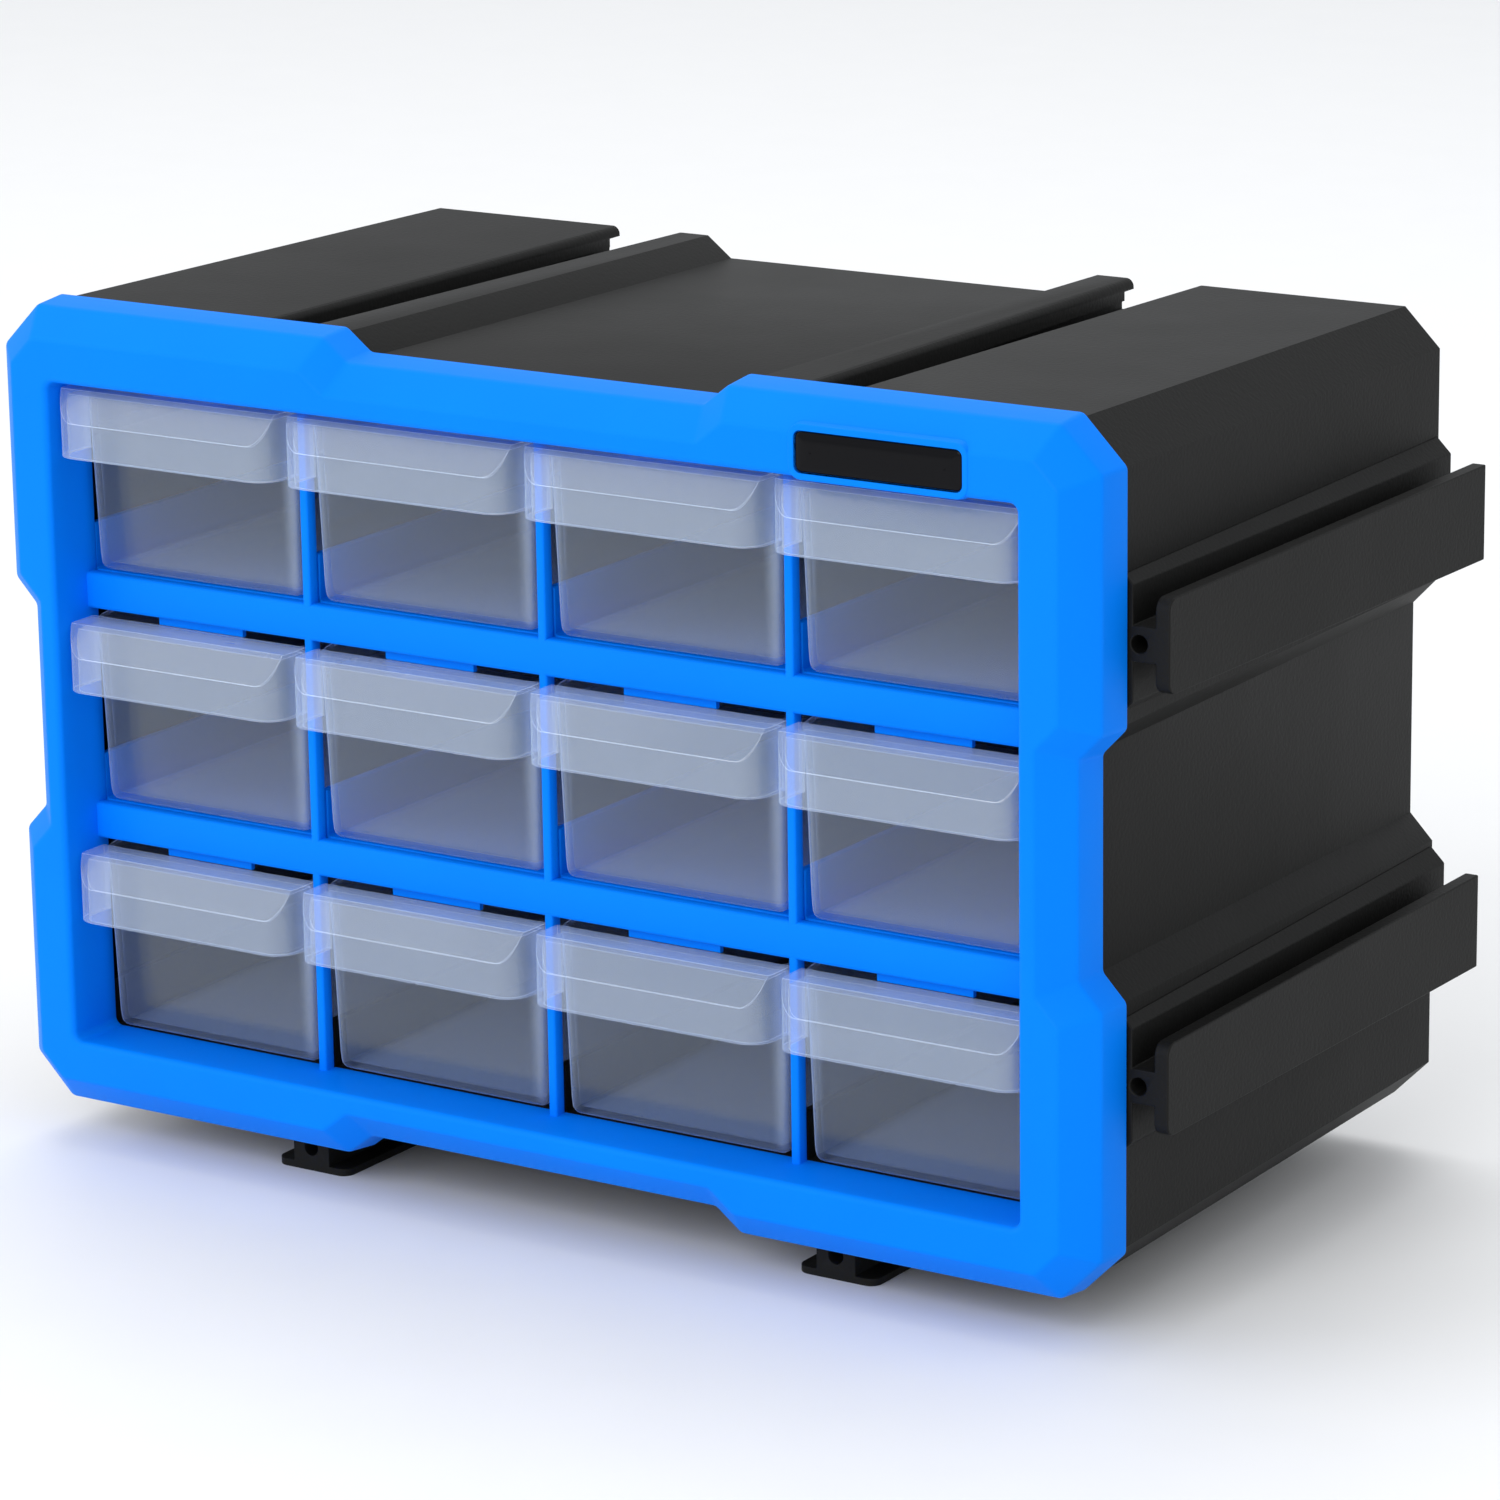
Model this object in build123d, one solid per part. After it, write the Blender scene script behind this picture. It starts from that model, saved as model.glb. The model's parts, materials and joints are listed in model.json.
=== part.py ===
from build123d import *

import math
import os

# A stackable small-parts cabinet: a black case with a blue front frame, three rows of four clear
# drawers, T-slots on its top and left side, and T-rails on its underside and right side.
# Millimetres. While it is modelled, x = 0 is the cabinet's mid plane, y = 0 the front face and
# z = 0 the middle of the height. Every part is moved to the finished origin when it is written.

# Front frame
frame_width = 265.0        # across the rim
frame_height = 174.4       # top to bottom of the rim
frame_depth = 14.5         # front face to the rim's back edge
frame_corner = 9.5         # leg of the corner chamfers at the rim
frame_wall = 2.4           # moulded wall
bevel_run = 6.2            # slope between the front face and the rim, across and back
rim_flare = 0.8            # how far the rim widens from the slope to its back edge
border_side = 16.0         # rim to opening at the left and right
border_end = 15.8          # rim to opening at the top and bottom
opening_radius = 1.8       # corners of the opening
opening_round = 1.4        # rounding of the opening's front edge
top_dip = 4.6              # depth of the shallow recess in the top and bottom edges
top_dip_foot = 42.5        # half width of that recess at its floor
top_dip_slope = 6.0        # width of each of its slopes
side_dip = 5.2             # depth of the recess in the side edges
side_dip_foot = 21.6       # half height of that recess at its floor
side_dip_slope = 5.4       # height of each of its slopes

# Grid of the front frame
columns = 4
rows = 3
post = 2.0                 # thickness of the upright bars
rail = 7.8                 # height of the cross bars
grid_front = 11.0          # front face to the front of the bars
grid_back = 14.2           # front face to the back of the bars
bar_round = 0.8            # rounding of the bars' front edges
catch_width = 22.0         # catch over the middle of each drawer, behind its front wall
catch_drop = 2.0           # how far it hangs below the bar or border
catch_front = 13.0         # front face to the catch

# Case
depth = 147.8              # front face to the back of the case
case_step = 1.1            # how far the case sits inside the frame's rim
case_wall = 2.2
case_draft = 1.4           # how much each side draws in from front to back
tongue_length = 4.0        # reach of the case's front edge inside the frame
tongue_gap = 0.2           # clearance between that edge and the frame
tongue_wall = 1.2
floor_thickness = 2.0      # floor under the bottom row
ledge_thickness = 1.8      # ledges that carry the shelves
ledge_overlap = 3.2        # how far each ledge reaches under a shelf

# Shelves
shelf_thickness = 2.0
shelf_clearance = 0.3      # each side, between a shelf and the case
shelf_front_gap = 0.1      # frame to a shelf's front edge
shelf_back_gap = 0.2       # a shelf's back edge to the case's back wall
guide_height = 10.0        # ribs that guide the drawers
guide_thickness = 1.8

# T-rails and T-slots
side_rail_height = 43.7    # side rails above and below the mid height
side_flange = 20.0         # width of a side rail's flange at its back end
side_flange_front = 18.7   # and at its front end
side_flange_thickness = 3.1
side_web = 7.0             # thickness of a side rail's web
base_rail_offset = 65.5    # base rails left and right of the mid plane
base_flange = 19.2
base_flange_front = 18.6
base_flange_thickness = 1.6
base_web = 9.2
rail_reach = 8.7           # rim to the flange's outer face
pad_proud = 0.8            # a rail's base plate beyond the rim
pad_width = 23.0           # flat of the base plate
rail_hole = 3.5            # blind hole in a web's front end
rail_hole_depth = 6.0
rail_hole_inset = 3.5      # flange's inner face to the hole's centre
rail_front_gap = 0.5       # frame's back edge to a rail's front end
rail_back_inset = 0.6      # a rail's back end ahead of the case's
flange_corner = 2.6        # rounded front corners of a flange
slot_clearance = 0.6       # each side, round a mating flange
slot_depth_clearance = 0.5 # above and below a mating flange
throat_clearance = 0.5     # each side, round a mating web at the slot's front end
throat_widening = 2.3      # each side, at the slot's back end
lip_plate = 2.2            # thickness of the plate beside a slot
lip_skirt = 1.5            # thickness of the down-turned edge
lip_round = 1.8            # rounding of a lip's edge
skirt_setback = 4.0        # where the down-turned edge stops, ahead of the back
channel_wall = 1.5         # wall behind a slot
slot_front_wall = 2.5      # front edge of the case to a slot's closed end
overcut = 1.0              # how far a cutter runs past the surface it opens

# Drawers
tray_gap_side = 0.6        # each side, between a tray's rim and the bars
tray_gap_floor = 0.3       # under a tray
tray_gap_top = 1.0         # over a tray's rim
tray_front = 11.2          # front face to a tray's front wall
tray_gap_back = 2.4        # behind a tray
tray_wall = 1.5
tray_floor = 1.5
tray_draft = 2.0           # degrees
tray_corner = 4.0          # upright corners
tray_edge = 2.5            # rounding round the floor
tray_inside_edge = 1.2     # and inside
front_wall_drop = 0.8      # front wall below the rim
handle_front = 1.0         # front face to the front of a handle
handle_gap_side = 0.3      # each side, between a handle and the bars
handle_corner = 5.5        # upright corners of a handle
handle_height = 13.9       # top strip to the bottom of the skirt
handle_skirt = 7.4         # upright part of a handle
handle_strip = 6.6         # flat top strip, front to back
handle_wall = 1.3
stop_clearance = 0.5       # a tray's back wall to its catch at the end of the travel

# Badge
badge_width = 37.0
badge_height = 7.8
badge_corner = 1.2
badge_thickness = 0.9
badge_pocket = 1.2         # depth of its pocket
badge_gap = 0.2            # each side
badge_centre_x = 86.2
badge_margin = 1.2         # opening to the badge

# Worked out from the values above
half_width = frame_width / 2
half_height = frame_height / 2
open_width = frame_width - 2 * border_side
open_height = frame_height - 2 * border_end
pitch_x = (open_width + post) / columns
pitch_z = (open_height + rail) / rows
cell_width = pitch_x - post
cell_height = pitch_z - rail
back_inside = depth - case_wall
tray_top = cell_height / 2 - tray_gap_top
tray_bottom = -cell_height / 2 + tray_gap_floor
tray_back = back_inside - tray_gap_back
tray_width = cell_width - 2 * tray_gap_side
strip_top = tray_top - front_wall_drop
drawer_travel = tray_back - tray_wall - grid_back - stop_clearance
rail_back = depth - rail_back_inset
rail_front = frame_depth + rail_front_gap
overall_low_x = -half_width
overall_high_x = half_width + rail_reach
overall_low_z = -half_height - rail_reach
origin_shift = (-(overall_low_x + overall_high_x) / 2, -depth / 2, -overall_low_z)


def at_depth(y):
    """Upright sketch plane at depth y: local x is x, local y is z, and it faces the front."""
    return Plane.XZ.offset(-y)


def rim_outline():
    """The cabinet's outline: a rectangle with chamfered corners and a recess in each edge."""
    quarter = [
        (top_dip_foot, half_height - top_dip),
        (top_dip_foot + top_dip_slope, half_height),
        (half_width - frame_corner, half_height),
        (half_width, half_height - frame_corner),
        (half_width, side_dip_foot + side_dip_slope),
        (half_width - side_dip, side_dip_foot),
    ]
    lower_right = [(x, -z) for x, z in reversed(quarter)]
    lower_left = [(-x, -z) for x, z in quarter]
    upper_left = [(-x, z) for x, z in reversed(quarter)]
    return make_face(Polyline(*quarter, *lower_right, *lower_left, *upper_left, close=True))


def inset(sketch, amount):
    return offset(sketch, amount=-amount, kind=Kind.INTERSECTION)


def prism(sketch, y_from, y_to, draw_in=0.0):
    """Sketch carried from one depth to another, its sides drawn in evenly by draw_in."""
    length = y_to - y_from
    angle = math.degrees(math.atan(draw_in / abs(length)))
    return extrude(at_depth(y_from) * sketch, amount=-length, taper=angle)


def block(x, y, z):
    """Box from three (low, high) pairs."""
    size = [high - low for low, high in (x, y, z)]
    middle = [(high + low) / 2 for low, high in (x, y, z)]
    return Pos(*middle) * Box(*size)


def post_centres(both_ends=False):
    first, last = (0, columns) if both_ends else (1, columns - 1)
    return [(i - columns / 2) * pitch_x for i in range(first, last + 1)]


def cross_bar_centres():
    return [(i - rows / 2) * pitch_z for i in range(1, rows)]


def column_centres():
    return [(i - (columns - 1) / 2) * pitch_x for i in range(columns)]


def row_centres():
    """From the top row down."""
    return [((rows - 1) / 2 - i) * pitch_z for i in range(rows)]


# Front frame ---------------------------------------------------------------------------------

def bezel_block(shrink, front):
    """Rim, then a slope in to the front face. shrink sets the whole block inside the outline."""
    slope_back = front + bevel_run
    rim = inset(rim_outline(), shrink) if shrink else rim_outline()
    body = prism(rim, frame_depth, slope_back, rim_flare)
    return body + prism(inset(rim, rim_flare), slope_back, front, bevel_run)


def opening_cutter():
    """The opening through the frame, with its front edge rounded over."""
    sketch = RectangleRounded(open_width, open_height, opening_radius)
    cutter = prism(sketch, -overcut, frame_depth + overcut)
    flare = prism(RectangleRounded(open_width + 2 * opening_round, open_height + 2 * opening_round,
                                   opening_radius + opening_round), 0, opening_round, opening_round)
    return cutter + flare


def grid():
    """Upright and cross bars."""
    y_span = (grid_front, grid_back)
    x_span = (-open_width / 2 - frame_wall / 2, open_width / 2 + frame_wall / 2)
    z_span = (-open_height / 2 - frame_wall / 2, open_height / 2 + frame_wall / 2)
    posts = [block((x - post / 2, x + post / 2), y_span, z_span) for x in post_centres()]
    bars = [block(x_span, y_span, (z - rail / 2, z + rail / 2)) for z in cross_bar_centres()]
    bars = [fillet(bar.edges().filter_by(Axis.X).sort_by(Axis.Y)[:2], bar_round) for bar in bars]
    return Part() + posts + bars


def catches():
    """A low lip over each drawer: the front wall shuts against it, the back wall stops on it."""
    y_span = (catch_front, grid_back)
    lips = []
    for z in row_centres():
        bar_underside = z + cell_height / 2
        z_span = (bar_underside - catch_drop, bar_underside + frame_wall / 2)
        for x in column_centres():
            lips.append(block((x - catch_width / 2, x + catch_width / 2), y_span, z_span))
    return lips


def badge_place():
    low = open_height / 2 + badge_margin
    return badge_centre_x, low + badge_height / 2


def front_frame():
    """Bezel with a hollow back, the opening's wall, the grid and the badge's pocket."""
    wall_x = open_width / 2 + frame_wall
    wall_z = open_height / 2 + frame_wall
    wall_tube = block((-wall_x, wall_x), (-overcut, frame_depth + overcut), (-wall_z, wall_z))
    body = bezel_block(0, 0) - (bezel_block(frame_wall, frame_wall) - wall_tube)
    body = body - opening_cutter() + grid() + catches()
    x, z = badge_place()
    pocket = RectangleRounded(badge_width + 2 * badge_gap, badge_height + 2 * badge_gap,
                              badge_corner + badge_gap)
    pocket_floor = badge_pocket + frame_wall
    backing = prism(Rectangle(badge_width + 2 * frame_wall, badge_height), frame_wall, pocket_floor)
    return body + Pos(x, 0, z) * backing - Pos(x, 0, z) * prism(pocket, -overcut, badge_pocket)


def badge():
    """Plain glossy plate with softened edges; it carries no mark."""
    x, z = badge_place()
    plate = prism(RectangleRounded(badge_width, badge_height, badge_corner),
                  badge_pocket - badge_thickness, badge_pocket)
    face = plate.faces().sort_by(Axis.Y)[0]
    return Pos(x, 0, z) * fillet(face.edges(), badge_thickness / 2)


# T-rails and T-slots ---------------------------------------------------------------------------
# Both are drawn for the right-hand side, where "out" is +x and "along" is z, and turned from there.

def out_to(face, shape):
    """Turn a shape drawn on the right-hand side to the given face of the cabinet."""
    turn = {"right": 0, "left": 180, "top": -90, "bottom": 90}[face]
    return Rot(0, turn, 0) * shape


def slot_section(throat, surface, ceiling):
    """Throat of a T-slot: straight, then rounded over to the surface. Local x is out."""
    edge = surface - lip_round
    outline = Polyline((ceiling, throat), (edge, throat))
    outline += RadiusArc((edge, throat), (surface, throat + lip_round), -lip_round)
    outline += Polyline((surface, throat + lip_round), (surface + overcut, throat + lip_round),
                        (surface + overcut, -throat - lip_round), (surface, -throat - lip_round))
    outline += RadiusArc((surface, -throat - lip_round), (edge, -throat), -lip_round)
    outline += Polyline((edge, -throat), (ceiling, -throat), (ceiling, throat))
    return make_face(outline)


def slot_sizes(rim_distance, flange, flange_thickness, web):
    """Sizes of the slot that takes the given flange and web of a neighbour's rail."""
    floor = rim_distance - rail_reach - slot_depth_clearance
    return {
        "floor": floor,
        "skirt_end": rim_distance - rail_reach + flange_thickness + slot_depth_clearance,
        "surface": rim_distance - case_step,
        "half_cavity": flange / 2 + slot_clearance,
        "throat_front": web / 2 + throat_clearance,
        "throat_back": web / 2 + throat_clearance + throat_widening,
        "front": frame_depth + slot_front_wall,
    }


def slot_walls(size):
    """Channel that the slot is sunk into."""
    half = size["half_cavity"] + channel_wall
    return block((size["floor"] - channel_wall, size["surface"] - case_wall / 2),
                 (size["front"] - channel_wall, depth), (-half, half))


def slot_cutter(size):
    """Cavity for the flange, less the lips' down-turned edges, and the widening throat."""
    plate_under = size["surface"] - case_draft - lip_plate
    half = size["half_cavity"]
    cavity = block((size["floor"], plate_under), (size["front"], depth + overcut), (-half, half))
    skirt_back = depth - skirt_setback
    widest = size["throat_back"] + lip_skirt
    narrow = size["throat_front"] + lip_skirt
    skirt_plan = make_face(Polyline((size["front"], narrow), (skirt_back, widest), (skirt_back, -widest),
                                    (size["front"], -narrow), close=True))
    skirts = extrude(Plane((size["skirt_end"], 0, 0), x_dir=(0, 1, 0), z_dir=(1, 0, 0)) * skirt_plan,
                     amount=plate_under - size["skirt_end"])
    front = at_depth(size["front"]) * slot_section(size["throat_front"], size["surface"], size["floor"])
    back = at_depth(depth + overcut) * slot_section(size["throat_back"], size["surface"] - case_draft,
                                                    size["floor"])
    return (cavity - skirts) + loft([front, back])


def side_slot_sizes():
    return slot_sizes(half_width, side_flange, side_flange_thickness, side_web)


def top_slot_sizes():
    return slot_sizes(half_height, base_flange, base_flange_thickness, base_web)


def slot_places():
    """Face, distance of the slot from the mid plane, and the slot's sizes."""
    places = [("left", side * side_rail_height, side_slot_sizes()) for side in (-1, 1)]
    return places + [("top", side * base_rail_offset, top_slot_sizes()) for side in (-1, 1)]


def rail_solid(rim_distance, flange_back, flange_front, flange_thickness, web):
    """T-rail with its base plate: the plate's flanks slope at 45 degrees down to the case."""
    outer = rim_distance + rail_reach
    inner = outer - flange_thickness
    pad_top = rim_distance + pad_proud
    foot = rim_distance - case_step - case_draft - case_wall / 2
    spread = pad_width / 2 + pad_top - foot
    pad = make_face(Polyline((pad_top, pad_width / 2), (foot, spread), (foot, -spread),
                             (pad_top, -pad_width / 2), close=True))
    rail_part = prism(pad, rail_front, rail_back)
    rail_part += block((foot, inner + flange_thickness / 2), (rail_front, rail_back), (-web / 2, web / 2))
    plan = make_face(Polyline((rail_front, flange_front / 2), (rail_back, flange_back / 2),
                              (rail_back, -flange_back / 2), (rail_front, -flange_front / 2), close=True))
    plan = fillet(plan.vertices().sort_by(Axis.X)[:2], flange_corner)
    flange_plane = Plane((inner, 0, 0), x_dir=(0, 1, 0), z_dir=(1, 0, 0))
    rail_part += extrude(flange_plane * plan, amount=flange_thickness)
    hole = Pos(inner - rail_hole_inset, rail_front, 0) * Rot(-90, 0, 0) * Cylinder(
        rail_hole / 2, rail_hole_depth, align=(Align.CENTER, Align.CENTER, Align.MIN))
    return rail_part - hole


def fitted_rail(face, along, rail_part):
    """Rail turned to its face, moved along it and cut to lie on the case."""
    moved = Pos(along, 0, 0) if face in ("top", "bottom") else Pos(0, 0, along)
    return moved * out_to(face, rail_part) - case_outside()


def side_rail(sign):
    rail_part = rail_solid(half_width, side_flange, side_flange_front, side_flange_thickness, side_web)
    return fitted_rail("right", sign * side_rail_height, rail_part)


def base_rail(sign):
    rail_part = rail_solid(half_height, base_flange, base_flange_front, base_flange_thickness, base_web)
    return fitted_rail("bottom", sign * base_rail_offset, rail_part)


# Case ------------------------------------------------------------------------------------------

def case_outside():
    return prism(inset(rim_outline(), case_step), frame_depth, depth, case_draft)


def case_inside():
    return prism(inset(rim_outline(), case_step + case_wall), frame_depth, back_inside, case_draft)


def bay_floor():
    """Floor of the bottom row, with its guide ribs. It stands clear of the case's underside."""
    top = -open_height / 2
    span = (-half_width, half_width)
    plate = block(span, (frame_depth, depth), (top - floor_thickness, top))
    return [plate] + guides(top)


def guides(floor_level):
    """Low ribs between the drawers and beside the outer ones."""
    half = guide_thickness / 2
    ends = (frame_depth + shelf_front_gap, back_inside - tray_gap_back)
    ribs = []
    for x in post_centres(both_ends=True):
        ribs.append(block((x - half, x + half), ends, (floor_level, floor_level + guide_height)))
    return ribs


def shelf_half_width():
    side = side_slot_sizes()
    return side["floor"] - channel_wall - shelf_clearance


def ledges():
    """Strips along the case's sides that carry the shelves' ends."""
    reach = shelf_half_width() - ledge_overlap
    strips = []
    for z in cross_bar_centres():
        top = z + rail / 2 - shelf_thickness
        for sign in (-1, 1):
            low, high = sorted((sign * reach, sign * half_width))
            strips.append(block((low, high), (frame_depth, depth), (top - ledge_thickness, top)))
    return strips


def tongue():
    """Front edge of the case, which reaches up inside the frame's rim and narrows as the rim does."""
    outline = inset(rim_outline(), frame_wall + tongue_gap)
    core = inset(rim_outline(), case_step + case_wall + tongue_wall / 2)
    tip = frame_depth - tongue_length
    draw_in = rim_flare * tongue_length / (frame_depth - frame_wall - bevel_run)
    edge = prism(outline, frame_depth, tip, draw_in) + prism(outline, frame_depth + case_wall, frame_depth)
    return edge - prism(core, frame_depth + case_wall + overcut, tip - overcut, draw_in)


def case_shell():
    """One moulding: outer wall, closed back, slot channels, bottom floor and shelf ledges."""
    outside = case_outside()
    inner_parts = bay_floor() + ledges()
    for face, along, size in slot_places():
        moved = Pos(along, 0, 0) if face == "top" else Pos(0, 0, along)
        inner_parts.append(moved * out_to(face, slot_walls(size)))
    body = (outside - case_inside()) + (outside & (Part() + inner_parts)) + tongue()
    for face, along, size in slot_places():
        moved = Pos(along, 0, 0) if face == "top" else Pos(0, 0, along)
        body -= moved * out_to(face, slot_cutter(size))
    return body


def shelf(bar_z):
    """Full-depth shelf behind one cross bar, with guide ribs for the row above it."""
    top = bar_z + rail / 2
    half = shelf_half_width()
    ends = (frame_depth + shelf_front_gap, back_inside - shelf_back_gap)
    plate = block((-half, half), ends, (top - shelf_thickness, top))
    return Part() + [plate] + guides(top)


# Drawers ---------------------------------------------------------------------------------------
# One drawer is drawn with the middle of its bay at x = 0, z = 0.

def tray_solid(shrink, bottom, edge):
    """Tapered box with rounded upright corners and a rounded floor edge."""
    length = tray_back - tray_front
    face = RectangleRounded(tray_width - 2 * shrink, length - 2 * shrink, tray_corner - shrink)
    top = Pos(0, (tray_front + tray_back) / 2, tray_top) * face
    body = extrude(top, amount=bottom - tray_top, taper=tray_draft)
    return fillet(body.faces().sort_by(Axis.Z)[0].edges(), edge)


def handle_plan(shrink):
    """Plan of the handle: its front corners are rounded and its back meets the tray's corners."""
    width = cell_width - 2 * handle_gap_side - 2 * shrink
    back = tray_front + tray_corner / 2
    length = back - handle_front - shrink
    plan = Rectangle(width, length)
    plan = fillet(plan.vertices().sort_by(Axis.Y)[:2], handle_corner - shrink)
    return Pos(0, handle_front + shrink + length / 2, 0) * plan


def slope_wedge(shift):
    """Everything in front of and above the handle's slope, moved in by shift along its normal."""
    skirt_top = strip_top - handle_height + handle_skirt
    strip_front = tray_front - handle_strip
    rise = strip_top - skirt_top
    run = strip_front - handle_front
    slope = math.hypot(rise, run)
    y = handle_front + shift * rise / slope
    z = skirt_top - shift * run / slope
    far = 4
    outline = Polyline((y - far * run, z - far * rise), (y + far * run, z + far * rise),
                       (y - far * run, z + far * rise), close=True)
    wedge = extrude(Plane.YZ * make_face(outline), amount=tray_width, both=True)
    return wedge


def handle():
    """Hollow pull: flat strip, slope and skirt, open underneath for the fingers."""
    bottom = strip_top - handle_height
    outside = extrude(Pos(0, 0, bottom) * handle_plan(0), amount=handle_height) - slope_wedge(0)
    inside = extrude(Pos(0, 0, bottom - overcut) * handle_plan(handle_wall),
                     amount=handle_height + overcut - handle_wall)
    return outside - (inside - slope_wedge(handle_wall))


def drawer():
    """Tray and handle in one clear moulding."""
    tray = tray_solid(0, tray_bottom, tray_edge)
    tray -= block((-tray_width, tray_width), (0, tray_front + tray_corner), (strip_top, tray_top + overcut))
    tray += handle()
    return tray - tray_solid(tray_wall, tray_bottom + tray_floor, tray_inside_edge)


def drawers():
    made = {}
    pattern = drawer()
    for row, z in enumerate(row_centres(), 1):
        for column, x in enumerate(column_centres(), 1):
            made[f"drawer_r{row}_c{column}"] = Pos(x, 0, z) * pattern
    return made


def cabinet():
    """Every part by name, where it sits in the closed cabinet."""
    upper, lower = reversed(cross_bar_centres())
    made = {
        "front_frame": front_frame(),
        "case_shell": case_shell(),
        "shelf_upper": shelf(upper),
        "shelf_lower": shelf(lower),
        "badge": badge(),
        "side_rail_upper": side_rail(1),
        "side_rail_lower": side_rail(-1),
        "base_rail_left": base_rail(-1),
        "base_rail_right": base_rail(1),
    }
    made.update(drawers())
    return made


os.makedirs("parts", exist_ok=True)
for name, shape in cabinet().items():
    export_step(Pos(*origin_shift) * shape, f"parts/{name}.step")
print("drawer travel", round(drawer_travel, 2), "origin shift", [round(v, 3) for v in origin_shift])
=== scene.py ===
import json
import math

import bmesh
import bpy
import numpy as np
from mathutils import Matrix, Vector
from mathutils.geometry import tessellate_polygon


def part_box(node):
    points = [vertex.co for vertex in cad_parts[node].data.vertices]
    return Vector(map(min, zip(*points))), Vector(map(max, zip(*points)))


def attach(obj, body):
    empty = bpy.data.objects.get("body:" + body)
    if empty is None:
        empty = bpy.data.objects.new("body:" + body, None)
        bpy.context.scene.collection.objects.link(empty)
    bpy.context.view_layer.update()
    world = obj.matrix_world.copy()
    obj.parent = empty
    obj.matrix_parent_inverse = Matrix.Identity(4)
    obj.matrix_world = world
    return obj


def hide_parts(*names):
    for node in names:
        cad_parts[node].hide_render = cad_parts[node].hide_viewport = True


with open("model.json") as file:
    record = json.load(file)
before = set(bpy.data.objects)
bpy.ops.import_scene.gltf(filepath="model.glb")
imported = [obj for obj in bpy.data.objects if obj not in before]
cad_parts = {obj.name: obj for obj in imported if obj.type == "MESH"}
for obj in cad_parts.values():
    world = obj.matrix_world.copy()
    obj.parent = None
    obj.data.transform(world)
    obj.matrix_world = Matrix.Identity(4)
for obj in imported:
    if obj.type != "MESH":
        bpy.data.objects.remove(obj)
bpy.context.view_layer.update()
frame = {"nodes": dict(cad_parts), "record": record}

# Sizes below are in millimetres, measured from the middle of the front frame's face:
# x to the right, y into the cabinet, z up. settle() carries them to the CAD's frame in metres.
PER_METRE = 1000
rim_low, rim_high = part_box("front_frame")
MIDDLE = np.array([(rim_low.x + rim_high.x) / 2, rim_low.y, (rim_low.z + rim_high.z) / 2])
HALF_WIDTH = (rim_high.x - rim_low.x) / 2 * PER_METRE
HALF_HEIGHT = (rim_high.z - rim_low.z) / 2 * PER_METRE
FRAME_DEPTH = (rim_high.y - rim_low.y) * PER_METRE

# Bays
COLUMNS, ROWS = 4, 3
BORDER_SIDE, BORDER_END = 16.0, 15.8
POST, CROSS_BAR = 2.0, 7.8
OPEN_X, OPEN_Z = HALF_WIDTH - BORDER_SIDE, HALF_HEIGHT - BORDER_END   # half the opening
PITCH_X = (2 * OPEN_X + POST) / COLUMNS
PITCH_Z = (2 * OPEN_Z + CROSS_BAR) / ROWS
BAY_X, BAY_Z = (PITCH_X - POST) / 2, (PITCH_Z - CROSS_BAR) / 2        # half a bay

# Meshes
WELD = 0.002                            # points of a new piece nearer than this become one
SHARP_ANGLE = 32                        # degrees, past which an edge is shaded sharp
SOFT_STEPS, SOFT_ANGLE = 2, 34          # rounded edges: segments, and how sharp an edge has to be
LOOSE_GAP, FLAT_ANGLE = 2e-6, 0.6       # metres and degrees, within which CAD triangles are merged
ALONG_X, ALONG_Z = 0, 2


# Outlines ----------------------------------------------------------------------------------------

EASE_STEPS = 5
SIDE_SHARES = (0.03, 0.1, 0.3, 0.5, 0.7, 0.9, 0.97)
LEAST_RADIUS = 0.05


def arc(centre, radius, start, end, steps):
    """Points of an arc in a plane, from one angle to another in degrees."""
    angle = np.radians(np.linspace(start, end, steps))
    return np.stack([centre[0] + radius * np.cos(angle), centre[1] + radius * np.sin(angle)], -1)


def quadratic(start, corner, end, share):
    """Quadratic curve from start to end that heads for the corner: with share t it is
    (1 - t)^2 start + 2 t (1 - t) corner + t^2 end."""
    return (1 - share) ** 2 * start + 2 * share * (1 - share) * corner + share ** 2 * end


def eased(corners, setbacks):
    """Open line with its inner corners rounded: each corner becomes a quadratic curve that starts
    and ends one setback away from it."""
    line = [corners[0]]
    share = np.linspace(0, 1, EASE_STEPS)[:, None]
    for before, corner, after, setback in zip(corners, corners[1:], corners[2:], setbacks):
        before, corner, after = (np.array(p, float) for p in (before, corner, after))
        start = corner + (before - corner) * setback / np.linalg.norm(before - corner)
        end = corner + (after - corner) * setback / np.linalg.norm(after - corner)
        line += quadratic(start, corner, end, share).tolist()
    return np.array(line + [corners[-1]])


def round_box(half_x, half_y, radius, steps=9, side=SIDE_SHARES):
    """Rounded rectangle about the origin: four quarter arcs joined by straight sides, which have
    points at the given shares of their length."""
    radius = np.maximum(radius, LEAST_RADIUS)
    cx, cy = half_x - radius, half_y - radius
    turns = ((0, 1, 1), (90, -1, 1), (180, -1, -1), (270, 1, -1))
    arcs = [arc((sx * cx, sy * cy), radius, turn, turn + 90, steps) for turn, sx, sy in turns]
    share = np.array(side)[:, None]
    loop = []
    for here, ahead in zip(arcs, arcs[1:] + arcs[:1]):
        loop += [here, here[-1] + (ahead[0] - here[-1]) * share]
    return np.concatenate(loop)


# Meshes from arrays ------------------------------------------------------------------------------

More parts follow.
